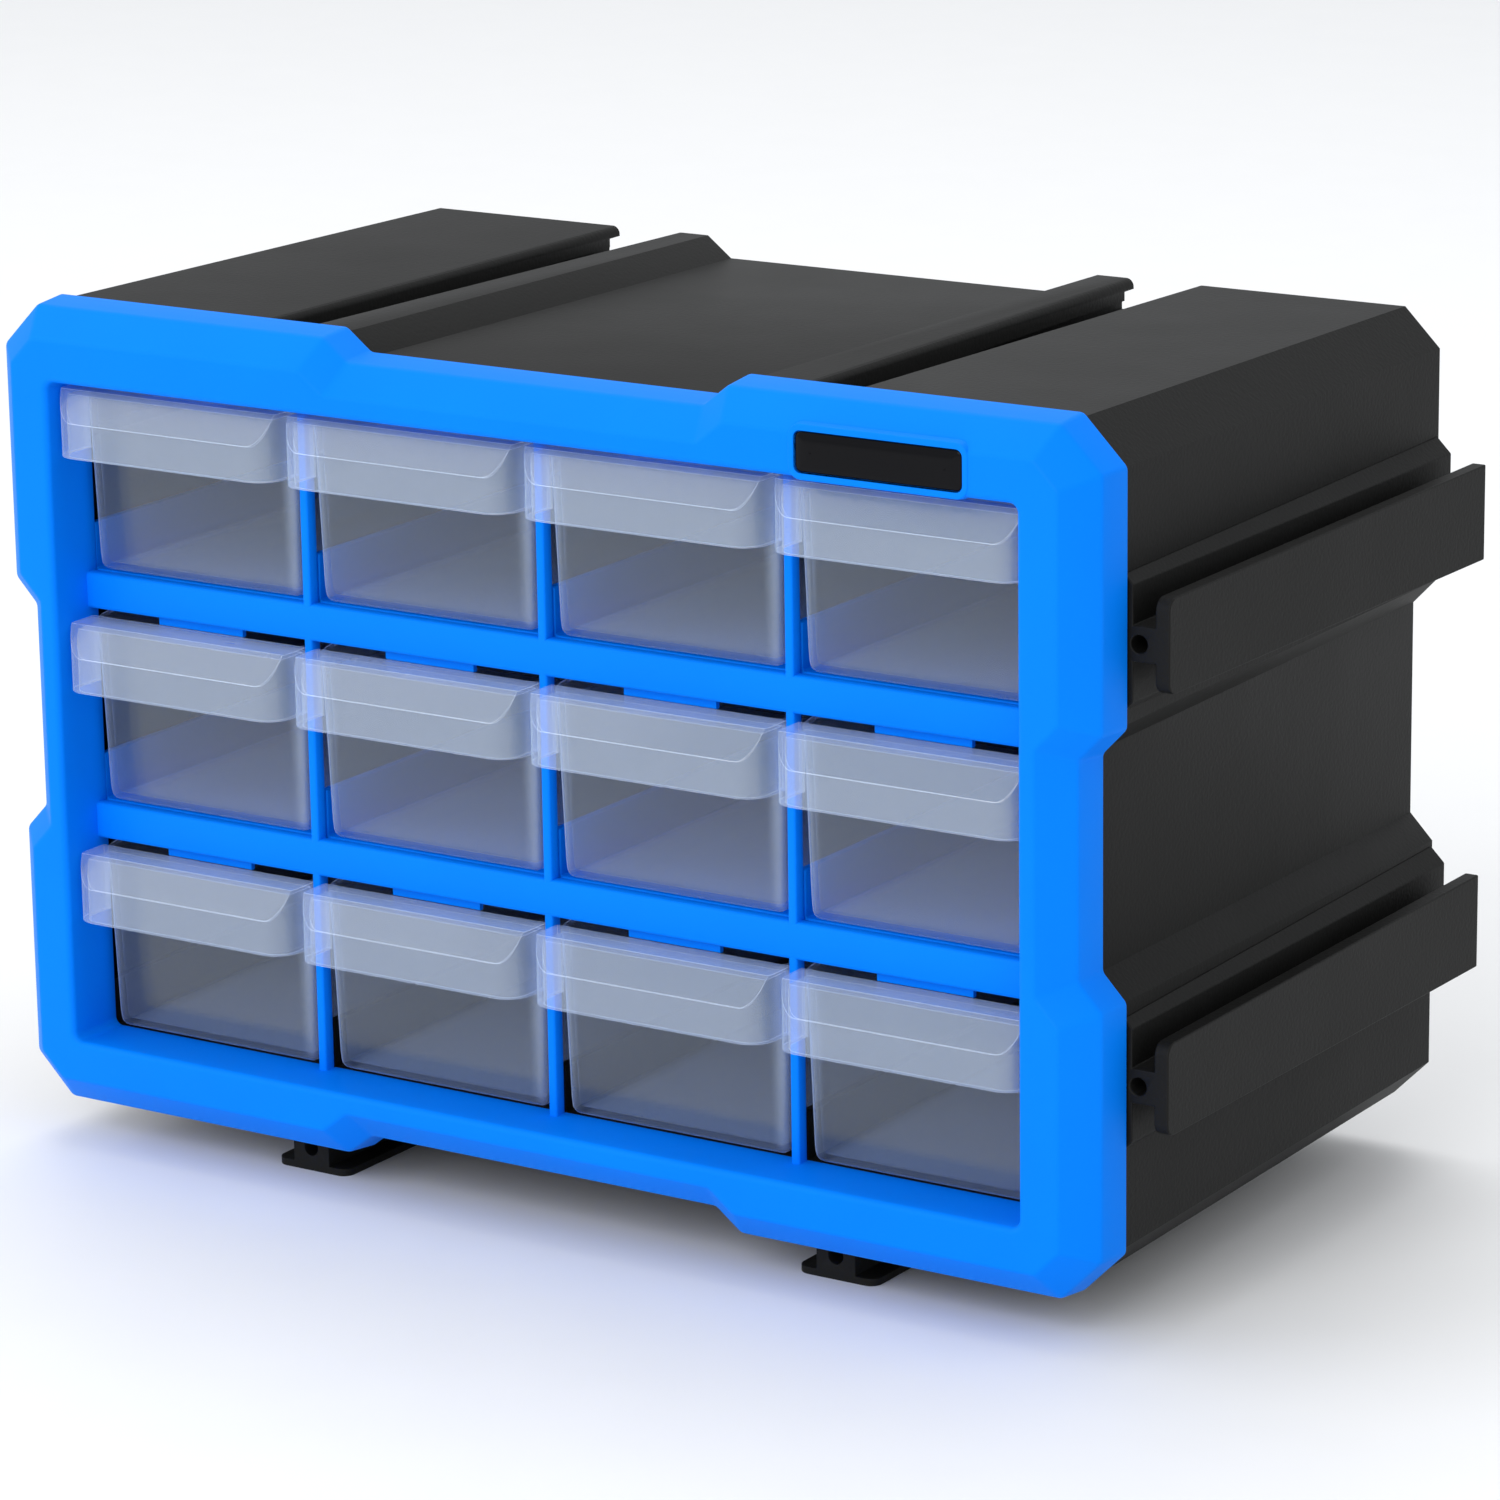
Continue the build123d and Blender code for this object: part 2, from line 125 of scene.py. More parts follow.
def grid_faces(rows, cols, round_cols):
    """Quads of a rows x cols grid of points, whose last column joins the first where asked."""
    r0, c0 = np.meshgrid(np.arange(rows - 1), np.arange(cols if round_cols else cols - 1), indexing="ij")
    r1, c1 = r0 + 1, (c0 + 1) % cols
    quads = np.stack([r0 * cols + c0, r0 * cols + c1, r1 * cols + c1, r1 * cols + c0], -1)
    return quads.reshape(-1, 4)


def sheet(points, round_cols=False):
    """One surface: a grid of points and its quads."""
    rows, cols = points.shape[:2]
    return points.reshape(-1, 3), grid_faces(rows, cols, round_cols).tolist()


def rings(profile, loop_at):
    """A profile of (inset, depth) carried round a loop that each inset gives."""
    loops = [loop_at(inset) for inset, depth in profile]
    points = np.zeros((len(profile), len(loops[0]), 3))
    points[:, :, [0, 2]] = np.array(loops)
    points[:, :, 1] = np.asarray(profile)[:, 1:2]
    return points


def flat_between(loops, depth):
    """Flat face at one depth, between the first loop and the others, which are holes in it."""
    rounds = [[Vector(p) for p in np.insert(loop, 1, depth, axis=1).tolist()] for loop in loops]
    faces = tessellate_polygon(rounds)
    return np.insert(np.concatenate(loops), 1, depth, axis=1), [list(face) for face in faces]


def beam(low, high, radius, axis):
    """Bar along one axis: a rounded rectangle carried from end to end, with a closed cap on each."""
    low, high = np.array(low, float), np.array(high, float)
    across = [i for i in range(3) if i != axis]
    middle, half = (low + high) / 2, (high - low) / 2
    loop = round_box(half[across[0]], half[across[1]], radius, steps=4, side=())
    points = np.zeros((4, len(loop), 3))
    points[1:3][:, :, across] = loop
    points[:2, :, axis], points[2:, :, axis] = -half[axis], half[axis]
    return sheet(points + middle, round_cols=True)


def soften(piece, width, angle=SOFT_ANGLE, edge=None):
    """Round every edge sharper than angle with a small bevel. The rounded edges may have a
    material of their own."""
    bevel = piece.modifiers.new("soft edges", "BEVEL")
    bevel.limit_method, bevel.angle_limit = "ANGLE", math.radians(angle)
    bevel.width, bevel.segments = width / PER_METRE, SOFT_STEPS
    bevel.use_clamp_overlap = True
    bevel.harden_normals = True
    if edge:
        piece.data.materials.append(edge)
        bevel.material = 1


def closed_mesh(name, sheets, scale=1.0, shift=0.0):
    """Sheets joined where they meet into one mesh, its faces turned outwards."""
    points, faces, count = [], [], 0
    for verts, quads in sheets:
        points.append(verts)
        faces += [[corner + count for corner in face] for face in quads]
        count += len(verts)
    mesh = bpy.data.meshes.new(name)
    mesh.from_pydata((np.concatenate(points) * scale + shift).tolist(), [], faces)
    shape = bmesh.new()
    shape.from_mesh(mesh)
    bmesh.ops.remove_doubles(shape, verts=shape.verts, dist=WELD * scale)
    bmesh.ops.dissolve_degenerate(shape, edges=shape.edges, dist=WELD * scale / 10)
    bmesh.ops.recalc_face_normals(shape, faces=shape.faces)
    shape.to_mesh(mesh)
    shape.free()
    return mesh


def carved(sheets, cutter_sheets):
    """Sheet that is left when one closed shape is cut out of another."""
    body, cutter = (bpy.data.objects.new(name, closed_mesh(name, part))
                    for name, part in (("carved body", sheets), ("carving cutter", cutter_sheets)))
    for shape in (body, cutter):
        bpy.context.scene.collection.objects.link(shape)
    boolean = body.modifiers.new("cut", "BOOLEAN")
    boolean.operation, boolean.solver, boolean.object = "DIFFERENCE", "EXACT", cutter
    left = bpy.data.meshes.new_from_object(body.evaluated_get(bpy.context.evaluated_depsgraph_get()))
    verts = np.array([v.co[:] for v in left.vertices])
    faces = [list(face.vertices) for face in left.polygons]
    for shape in (body, cutter):
        mesh = shape.data
        bpy.data.objects.remove(shape)
        bpy.data.meshes.remove(mesh)
    bpy.data.meshes.remove(left)
    return verts, faces


def place(name, mesh, material, body, nodes):
    """Put a finished mesh in the scene: it rides on a body and stands for the given CAD nodes."""
    mesh.shade_smooth()
    mesh.set_sharp_from_angle(angle=math.radians(SHARP_ANGLE))
    mesh.materials.clear()
    mesh.materials.append(material)
    piece = bpy.data.objects.new(name, mesh)
    bpy.context.scene.collection.objects.link(piece)
    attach(piece, body)
    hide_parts(*nodes)
    return piece


def settle(name, sheets, material, body, nodes):
    """Make a piece of sheets in millimetres and put it in its place in the CAD's frame."""
    return place(name, closed_mesh(name, sheets, 1 / PER_METRE, MIDDLE), material, body, nodes)


def softened(node, name, material, width):
    """A CAD node's own shape with its loose triangles merged into flat faces and its edges rounded."""
    shape = bmesh.new()
    shape.from_mesh(frame["nodes"][node].data)
    bmesh.ops.remove_doubles(shape, verts=shape.verts, dist=LOOSE_GAP)
    bmesh.ops.dissolve_limit(shape, angle_limit=math.radians(FLAT_ANGLE), verts=shape.verts,
                             edges=shape.edges)
    mesh = bpy.data.meshes.new(name)
    shape.to_mesh(mesh)
    shape.free()
    piece = place(name, mesh, material, "cabinet", [node])
    soften(piece, width)
    return piece


# Front frame --------------------------------------------------------------------------------------

FACE = 0.15                             # the flat face lies this far behind the ridge round the badge
FACE_STRIP, INNER_STRIP = 1.4, 1.2      # flat past the crest, on the face and one wall further in
BEVEL_IN, BEVEL_BACK = 7.0, 6.2         # the slope, across the face and back from it
RIM_FLARE, RIM_EASE = 0.8, 0.8
CHAMFER = 9.5
RECESS_X, RECESS_X_END, RECESS_X_DEPTH = 42.5, 6.0, 4.6   # top and bottom: half length, end, depth
RECESS_Z, RECESS_Z_END, RECESS_Z_DEPTH = 21.6, 5.4, 5.2   # the same in the two sides
FRAME_WALL, WALL_SLANT = 2.4, 0.62      # the slope's inner skin sits back by this share of the wall
OUTSIDE_EASES = (0.6, 0.7, 0.35, 0.3, 0.8, 0.8)           # how far each corner's rounding reaches
OPENING_EASES = (0.3, 0.3, 0.4)
OPENING_ROUND, OPENING_CORNER = 1.4, 1.8
OPENING_STRIP, OPENING_ROW = 1.0, 5.0   # flat round the opening; depth of a row of its wall's points
GRID_FRONT, GRID_BACK = 11.0, 14.2
SHY = 0.05                              # posts and catches stop this far short of the bars' faces
BAR_ROUND, POST_ROUND, CATCH_ROUND = 0.8, 0.5, 0.3
CATCH_HALF, CATCH_DROP, CATCH_FRONT = 11.0, 2.0, 13.0
SUNK = FRAME_WALL / 2                   # bars and posts run this far into the frame

BADGE_HALF_X, BADGE_HALF_Z, BADGE_CORNER, BADGE_LEAST = 18.5, 3.9, 1.2, 0.3
BADGE_X, BADGE_LIFT = 86.2, 1.2
BADGE_Z = OPEN_Z + BADGE_LIFT + BADGE_HALF_Z
BADGE_EDGE, BADGE_RISE, BADGE_SLOPE = 0.52, 0.46, 0.96    # dome: edge's depth, rise, share it slopes
BADGE_BACK_GAP = 0.02
POCKET_GAP, POCKET_DEPTH = 0.25, 1.2
CUTTER_FRONT = -1.0
RIDGE_WIDTH, RIDGE_FLARE, RIDGE_FOOT, RIDGE_EASES = 1.3, 0.3, 1.8, (0.25, 0.35)


def rim_loop(inset):
    """The frame's outline moved in by inset. It is a rectangle with chamfered corners and a shallow
    recess in each edge; corners move along their mitres and are rounded by quadratic curves."""
    quarter = np.array([(RECESS_X, HALF_HEIGHT - RECESS_X_DEPTH),
                        (RECESS_X + RECESS_X_END, HALF_HEIGHT),
                        (HALF_WIDTH - CHAMFER, HALF_HEIGHT),
                        (HALF_WIDTH, HALF_HEIGHT - CHAMFER),
                        (HALF_WIDTH, RECESS_Z + RECESS_Z_END),
                        (HALF_WIDTH - RECESS_Z_DEPTH, RECESS_Z)])
    right = np.concatenate([quarter, quarter[::-1] * [1, -1]])
    corners = np.concatenate([right, right * -1])
    ahead = np.roll(corners, -1, 0) - corners
    ahead /= np.linalg.norm(ahead, axis=1)[:, None]
    inward = np.stack([ahead[:, 1], -ahead[:, 0]], -1)
    both = np.roll(inward, 1, 0) + inward
    corners = corners + inset * 2 * both / (both ** 2).sum(1)[:, None]
    share = np.linspace(0, 1, EASE_STEPS)[None, :, None]
    start = corners - np.roll(ahead, 1, 0) * RIM_EASE
    end = corners + ahead * RIM_EASE
    return quadratic(start[:, None], corners[:, None], end[:, None], share).reshape(-1, 2)


def opening_loop(outset):
    """The opening's outline grown by outset."""
    return round_box(OPEN_X + outset, OPEN_Z + outset, OPENING_CORNER + outset, 7)


def bezel_sheets():
    """Hollow-backed bezel: its front face, crest, slope and rim, the same again one wall further in,
    and the opening's wall between them."""
    turn, back, wall = BEVEL_BACK + FACE, FRAME_DEPTH, FRAME_WALL
    slant, inner_face = WALL_SLANT * wall, wall + FACE
    outside = eased([(BEVEL_IN + FACE_STRIP, FACE), (BEVEL_IN, FACE), (RIM_FLARE, turn), (0, back),
                     (wall, back), (wall + RIM_FLARE, turn + slant), (BEVEL_IN + slant, inner_face),
                     (BEVEL_IN + slant + INNER_STRIP, inner_face)], OUTSIDE_EASES)
    through = eased([(0, OPENING_ROW), (0, back), (wall, back), (wall, inner_face),
                     (wall + OPENING_STRIP, inner_face)], OPENING_EASES)
    round_over = arc((OPENING_ROUND, FACE + OPENING_ROUND), OPENING_ROUND, -90, -180, 8)
    through = np.concatenate([[(OPENING_ROUND + OPENING_STRIP, FACE)], round_over, through])
    outer, inner = rings(outside, rim_loop), rings(through, opening_loop)
    return [sheet(outer, round_cols=True), sheet(inner, round_cols=True),
            flat_between([outer[0][:, [0, 2]], inner[0][:, [0, 2]]], FACE),
            flat_between([outer[-1][:, [0, 2]], inner[-1][:, [0, 2]]], inner_face)]


def grid_sheets():
    """Cross bars with rounded fronts, posts between them, and the catch over each drawer."""
    made = []
    for i in range(1, ROWS):
        z = (i - ROWS / 2) * PITCH_Z
        made.append(beam((-OPEN_X - SUNK, GRID_FRONT, z - CROSS_BAR / 2),
                         (OPEN_X + SUNK, GRID_BACK, z + CROSS_BAR / 2), BAR_ROUND, ALONG_X))
    for i in range(1, COLUMNS):
        x = (i - COLUMNS / 2) * PITCH_X
        made.append(beam((x - POST / 2, GRID_FRONT + SHY, -OPEN_Z - SUNK),
                         (x + POST / 2, GRID_BACK - SHY, OPEN_Z + SUNK), POST_ROUND, ALONG_Z))
    for row in range(ROWS):
        under = ((ROWS - 1) / 2 - row) * PITCH_Z + BAY_Z
        for column in range(COLUMNS):
            x = (column - (COLUMNS - 1) / 2) * PITCH_X
            made.append(beam((x - CATCH_HALF, CATCH_FRONT, under - CATCH_DROP),
                             (x + CATCH_HALF, GRID_BACK - SHY, under + SUNK), CATCH_ROUND, ALONG_X))
    return made


def badge_loop(outset):
    """Rounded rectangle round the badge's place, grown by outset."""
    corner = max(BADGE_CORNER + outset, BADGE_LEAST)
    return round_box(BADGE_HALF_X + outset, BADGE_HALF_Z + outset, corner, 7) + [BADGE_X, BADGE_Z]


def pocket_cutter():
    """Closed block of the pocket's shape, which the badge's pocket is cut with."""
    loop = badge_loop(POCKET_GAP)
    points = np.zeros((4, len(loop), 3))
    points[:, :, [0, 2]] = loop
    points[0, :, [0, 2]] = points[3, :, [0, 2]] = np.array([BADGE_X, BADGE_Z])[:, None]
    points[:2, :, 1], points[2:, :, 1] = CUTTER_FRONT, POCKET_DEPTH
    return [sheet(points, round_cols=True)]


def ridge_sheets():
    """Low ridge round the badge's pocket: a rounded profile carried round it, sunk into the face."""
    outside = POCKET_GAP + RIDGE_WIDTH
    profile = eased([(POCKET_GAP, POCKET_DEPTH), (POCKET_GAP, 0.0), (outside, 0.0),
                     (outside + RIDGE_FLARE, RIDGE_FOOT)], RIDGE_EASES)
    return [sheet(rings(np.concatenate([profile, profile[:1]]), badge_loop), round_cols=True)]


def badge_sheets():
    """Domed plate: its sides stand in the pocket and its face rises in a quarter ellipse to a crown."""
    rise = np.radians(np.linspace(0, 90, 9))
    inset, depth = BADGE_HALF_Z * BADGE_SLOPE * (1 - np.cos(rise)), BADGE_EDGE - BADGE_RISE * np.sin(rise)
    profile = np.concatenate([[(0, POCKET_DEPTH - BADGE_BACK_GAP)], np.stack([inset, depth], -1)])
    points = rings(profile, lambda inset: badge_loop(-inset))
    crown, foot = points[-1:].copy(), points[:1].copy()
    crown[:, :, 2] = foot[:, :, 2] = BADGE_Z
    return [sheet(np.concatenate([foot, points, crown]), round_cols=True)]


# Drawers -----------------------------------------------------------------------------------------

TRAY_GAP_SIDE, TRAY_GAP_TOP, TRAY_GAP_FLOOR = 0.6, 1.0, 0.3
TRAY_HALF = BAY_X - TRAY_GAP_SIDE
TRAY_TOP, TRAY_BOTTOM = BAY_Z - TRAY_GAP_TOP, -BAY_Z + TRAY_GAP_FLOOR
TRAY_FRONT, TRAY_BACK = 11.2, 143.2
TRAY_MIDDLE, TRAY_HALF_DEPTH = (TRAY_FRONT + TRAY_BACK) / 2, (TRAY_BACK - TRAY_FRONT) / 2
TRAY_CORNER, TRAY_LEAST = 3.2, 0.6      # corners in plan, at the rim and at the tightest
TRAY_WALL, TRAY_FLOOR = 1.5, 1.5
FLOOR_ROUND, FOOT_ROUND = 1.2, 2.5      # where walls meet the floor, inside and outside
FLOOR_RINGS = (0.985, 0.6, 0.2, 0.0)
LEAN = math.tan(math.radians(2.0))      # the walls lean out towards the rim
RIM_ZONE = 3.0
DIP_REACH, DIP_RUN, DIP_HEIGHT = 4.4, 1.8, 2.2            # where the rim dips over the front wall
STRIP_DROP = 0.8                        # handle's flat strip, below the rim
STRIP_TOP = TRAY_TOP - STRIP_DROP
HANDLE_FRONT, HANDLE_STRIP = 1.0, 4.6   # depths where the slope and the strip start
HANDLE_GAP, HANDLE_SUNK = 0.3, 1.2
HANDLE_HALF, HANDLE_BACK = BAY_X - HANDLE_GAP, TRAY_FRONT + HANDLE_SUNK
HANDLE_CORNER, HANDLE_WALL = 5.5, 1.3
HANDLE_HEIGHT, SKIRT_HEIGHT = 13.9, 7.4
SKIRT_LOW = STRIP_TOP - HANDLE_HEIGHT
SKIRT_TOP = SKIRT_LOW + SKIRT_HEIGHT

CORNER_CORE, CORNER_FADE = 2.0, 2.0     # corners are milky this near, and fade over this
CORNER_END = 1.0                        # the corners' milk stops this far below the strip
RIM_MILK, RIM_CROWN, HANDLE_MILK = 2.5, 0.6, 0.45
SKIN = 0.1                              # tells the handle's points from the tray's


def tray():
    """Open box: a wall profile (floor inside, inner wall, rounded rim, outer wall, floor outside)
    carried round a rounded rectangle. Each profile point is an inset and a height, and the rim
    dips over the front wall."""
    def outer_inset(z):
        return (TRAY_TOP - z) * LEAN

    def inner_inset(z):
        return TRAY_WALL + outer_inset(z)

    def floor(ring, z):
        centre = np.array([0, TRAY_MIDDLE, 0])
        flat = (ring - centre)[None] * np.array(FLOOR_RINGS)[:, None, None] + centre
        flat[:, :, 2] = z
        return flat

    floor_in = TRAY_BOTTOM + TRAY_FLOOR
    floor_arc = arc((inner_inset(floor_in) + FLOOR_ROUND, floor_in + FLOOR_ROUND),
                    FLOOR_ROUND, 270, 180, 6)
    foot_arc = arc((outer_inset(TRAY_BOTTOM) + FOOT_ROUND, TRAY_BOTTOM + FOOT_ROUND),
                   FOOT_ROUND, 180, 270, 8)
    rim = arc((TRAY_WALL / 2, TRAY_TOP - TRAY_WALL / 2), TRAY_WALL / 2, 0, 180, 9)
    up = np.linspace(floor_in + 2 * FLOOR_ROUND, TRAY_TOP - RIM_ZONE, 5)
    down = up[::-1]
    profile = np.concatenate([floor_arc, np.stack([inner_inset(up), up], -1), rim,
                              np.stack([outer_inset(down), down], -1), foot_arc])
    loops = [round_box(TRAY_HALF - inset, TRAY_HALF_DEPTH - inset,
                       TRAY_CORNER - min(inset, TRAY_CORNER - TRAY_LEAST)) for inset in profile[:, 0]]
    points = np.zeros((len(profile), len(loops[0]), 3))
    points[:, :, :2] = np.array(loops)
    points[:, :, 2] = profile[:, 1:2]
    points[:, :, 1] += TRAY_MIDDLE
    near_front = np.clip((TRAY_FRONT + DIP_REACH - points[:, :, 1]) / DIP_RUN, 0, 1)
    near_front = near_front * near_front * (3 - 2 * near_front)
    high = np.clip((points[:, :, 2] - (TRAY_TOP - RIM_ZONE)) / DIP_HEIGHT, 0, 1)
    points[:, :, 2] -= STRIP_DROP * near_front * high
    return np.concatenate([floor(points[0], floor_in)[::-1], points, floor(points[-1], TRAY_BOTTOM)])


def handle(wall):
    """Handle's skin moved in by wall: an upright skirt round a U in plan, whose top follows the slope
    up to the flat strip, and the slope and strip themselves, which bend at the crease."""
    half, front, corner = HANDLE_HALF - wall, HANDLE_FRONT + wall, HANDLE_CORNER - wall
    rate = (STRIP_TOP - SKIRT_TOP) / (HANDLE_STRIP - HANDLE_FRONT)
    drop = wall * math.hypot(1, rate)
    crease = HANDLE_STRIP + (drop - wall) / rate

    def height(y):
        return np.minimum(SKIRT_TOP + (y - HANDLE_FRONT) * rate - drop, STRIP_TOP - wall)

    centre = (half - corner, front + corner)
    meets = -math.degrees(math.asin((centre[1] - crease) / corner))
    right = np.concatenate([arc(centre, corner, 0, meets, 4), arc(centre, corner, meets, -90, 9)[1:]])
    left = right[::-1] * [-1, 1]
    middle = np.linspace(right[-1], left[0], 14)[1:-1]
    front_line = np.concatenate([right, middle, left])
    side = np.linspace((half, HANDLE_BACK), right[0], 6)[:-1]
    path = np.concatenate([side, front_line, side[::-1] * [-1, 1]])
    share = np.linspace(0, 1, 7)[:, None]
    walls = np.zeros((len(share), len(path), 3))
    walls[:, :, :2] = path
    walls[:, :, 2] = SKIRT_LOW + (height(path[:, 1]) - SKIRT_LOW) * share
    bend = np.maximum(front_line[:, 1], crease)
    slope = front_line[:, 1] + (bend - front_line[:, 1]) * np.linspace(0, 1, 5)[:, None]
    strip = bend + (HANDLE_BACK - bend) * np.linspace(0, 1, 6)[1:, None]
    depths = np.concatenate([slope, strip])
    top = np.zeros((*depths.shape, 3))
    top[:, :, 0] = front_line[:, 0]
    top[:, :, 1] = depths
    top[:, :, 2] = height(depths)
    return walls, top


def drawer_sheets():
    """Tray, and the hollow handle's two skins with the edges that join them."""
    outer_walls, outer_top = handle(0)
    inner_walls, inner_top = handle(HANDLE_WALL)
    back_edges = [np.concatenate([walls[:, 0], top[-1], walls[::-1, -1]])
                  for walls, top in ((outer_walls, outer_top), (inner_walls, inner_top))]
    low_edges = [outer_walls[0], inner_walls[0]]
    return [sheet(tray(), round_cols=True), sheet(outer_walls), sheet(outer_top), sheet(inner_walls),
            sheet(inner_top), sheet(np.stack(low_edges)), sheet(np.stack(back_edges))]


def mark_corners(piece, at):
    """Attribute "corner": 1 along the tray's upright corners, where the plastic is seen in depth,
    falling to 0 a few millimetres away by the distance to the corner in plan, RIM_MILK on the
    crown of the rim and HANDLE_MILK on the handle."""
    mesh = piece.data
    points = np.zeros(len(mesh.vertices) * 3, dtype=np.float32)
    mesh.vertices.foreach_get("co", points)
    x, y, z = ((points.reshape(-1, 3) - MIDDLE) * PER_METRE - at).T
    from_side = np.abs(np.abs(x) - TRAY_HALF)
    from_end = np.abs(np.abs(y - TRAY_MIDDLE) - TRAY_HALF_DEPTH)
    near = np.clip(1 - (np.hypot(from_side, from_end) - CORNER_CORE) / CORNER_FADE, 0, 1)
    near *= (y > TRAY_FRONT - SKIN) * (z < STRIP_TOP - CORNER_END)
    near += RIM_MILK * (z > np.where(y > HANDLE_BACK, TRAY_TOP - RIM_CROWN, TRAY_TOP))
    near += HANDLE_MILK * (y < TRAY_FRONT - SKIN)
    corner = mesh.attributes.new("corner", "FLOAT", "POINT")
    corner.data.foreach_set("value", near.astype(np.float32))


# Materials ---------------------------------------------------------------------------------------

MOTTLE_SCALE, MOTTLE_DETAIL = 38, 5
GLOSS_SPREAD = 0.05
GRAIN_DETAIL, GRAIN_STRENGTH = 3, 0.6
SLANT, STEEP = 0.5, 0.74                # of the way from face on to edge on
MILK_TINT = (0.62, 0.76, 1.0)
# colour of the painted glow: emitted light that stands in for bright highlights along the clear plastic's
# edges
PAINTED_GLOW_TINT = (0.86, 0.91, 1.0, 1)
BEHIND_TINT = (0.985, 0.99, 1.0, 1)     # what is seen through one surface of clear plastic
SHADOW_TINT = (0.85, 0.87, 0.93, 1)     # light that passes one surface
SHINE_ROUGHNESS = 0.09


def plastic(name, colour, roughness, grain_size, grain_depth, mottle=0.06, **sockets):
    """Moulded plastic: slow mottling of the colour and gloss, and a fine grain in the surface."""
    material = bpy.data.materials.new(name)
    material.use_nodes = True
    nodes, links = material.node_tree.nodes, material.node_tree.links
    shader = nodes["Principled BSDF"]
    coordinates = nodes.new("ShaderNodeTexCoord")
    mottling = nodes.new("ShaderNodeTexNoise")
    mottling.inputs["Scale"].default_value = MOTTLE_SCALE
    mottling.inputs["Detail"].default_value = MOTTLE_DETAIL
    links.new(coordinates.outputs["Object"], mottling.inputs["Vector"])
    tint = nodes.new("ShaderNodeMix")
    tint.data_type = "RGBA"
    tint.inputs["A"].default_value = (*[c * (1 - mottle) for c in colour], 1)
    tint.inputs["B"].default_value = (*[min(1, c * (1 + mottle)) for c in colour], 1)
    links.new(mottling.outputs["Fac"], tint.inputs["Factor"])
    links.new(tint.outputs["Result"], shader.inputs["Base Color"])
    gloss = nodes.new("ShaderNodeMapRange")
    gloss.inputs["To Min"].default_value = roughness - GLOSS_SPREAD
    gloss.inputs["To Max"].default_value = roughness + GLOSS_SPREAD
    links.new(mottling.outputs["Fac"], gloss.inputs["Value"])
    links.new(gloss.outputs["Result"], shader.inputs["Roughness"])
    grain = nodes.new("ShaderNodeTexNoise")
    grain.inputs["Scale"].default_value = PER_METRE / grain_size
    grain.inputs["Detail"].default_value = GRAIN_DETAIL
    links.new(coordinates.outputs["Object"], grain.inputs["Vector"])
    bump = nodes.new("ShaderNodeBump")
    bump.inputs["Strength"].default_value = GRAIN_STRENGTH
    bump.inputs["Distance"].default_value = grain_depth / PER_METRE
    links.new(grain.outputs["Fac"], bump.inputs["Height"])
    links.new(bump.outputs["Normal"], shader.inputs["Normal"])
    for socket, value in sockets.items():
        shader.inputs[socket.replace("_", " ")].default_value = value
    return material


def by_slant(nodes, links, slant, shares):
    """Ramp over the angle that a surface is seen at: face on, at a slant, steeply and edge on."""
    ramp = nodes.new("ShaderNodeValToRGB")
    for at in (SLANT, STEEP):
        ramp.color_ramp.elements.new(at)
    for stop, share in zip(ramp.color_ramp.elements, shares):
        stop.color = (share, share, share, 1)
    links.new(slant.outputs["Facing"], ramp.inputs["Fac"])
    return ramp.outputs["Color"]


def clear_plastic(name, veil, gloss, corner_milk=0.0, painted_glow=0.0):
    """Slightly milky clear plastic in thin walls: each surface shows a veil of milk over what is
    behind it, thicker where it is seen edge on or in a corner, under a clear gloss. A glow
    strength above zero makes the surface emit a painted glow, light painted on it though it is no lamp."""
    material = plastic(name, MILK_TINT, 0.25, 9.0, 0.02, mottle=0.03)
    nodes, links = material.node_tree.nodes, material.node_tree.links
    shader, out = nodes["Principled BSDF"], nodes["Material Output"]
    slant = nodes.new("ShaderNodeLayerWeight")
    slant.inputs["Blend"].default_value = 0.5
    share = by_slant(nodes, links, slant, veil)
    if corner_milk:
        corner = nodes.new("ShaderNodeAttribute")
        corner.attribute_name = "corner"
        thicker = nodes.new("ShaderNodeMath")
        thicker.operation, thicker.use_clamp = "MULTIPLY_ADD", True
        thicker.inputs[1].default_value = corner_milk
        links.new(corner.outputs["Fac"], thicker.inputs[0])
        links.new(share, thicker.inputs[2])
        share = thicker.outputs[0]
    behind = nodes.new("ShaderNodeBsdfTransparent")
    behind.inputs["Color"].default_value = BEHIND_TINT
    # painted glow: the surface emits light of its own, standing in for highlights, when its strength is
    # above zero
    shader.inputs["Emission Color"].default_value = PAINTED_GLOW_TINT
    shader.inputs["Emission Strength"].default_value = painted_glow
    milk = nodes.new("ShaderNodeMixShader")
    links.new(share, milk.inputs[0])
    links.new(behind.outputs[0], milk.inputs[1])
    links.new(shader.outputs[0], milk.inputs[2])
    shine = nodes.new("ShaderNodeBsdfGlossy")
    shine.inputs["Roughness"].default_value = SHINE_ROUGHNESS
    coat = nodes.new("ShaderNodeMixShader")
    links.new(by_slant(nodes, links, slant, gloss), coat.inputs[0])
    links.new(milk.outputs[0], coat.inputs[1])
    links.new(shine.outputs[0], coat.inputs[2])
    passing = nodes.new("ShaderNodeLightPath")
    open_to_light = nodes.new("ShaderNodeMixShader")
    through = nodes.new("ShaderNodeBsdfTransparent")
    through.inputs["Color"].default_value = SHADOW_TINT
    links.new(passing.outputs["Is Shadow Ray"], open_to_light.inputs[0])
    links.new(coat.outputs[0], open_to_light.inputs[1])
    links.new(through.outputs[0], open_to_light.inputs[2])
    links.new(open_to_light.outputs[0], out.inputs["Surface"])
    return material


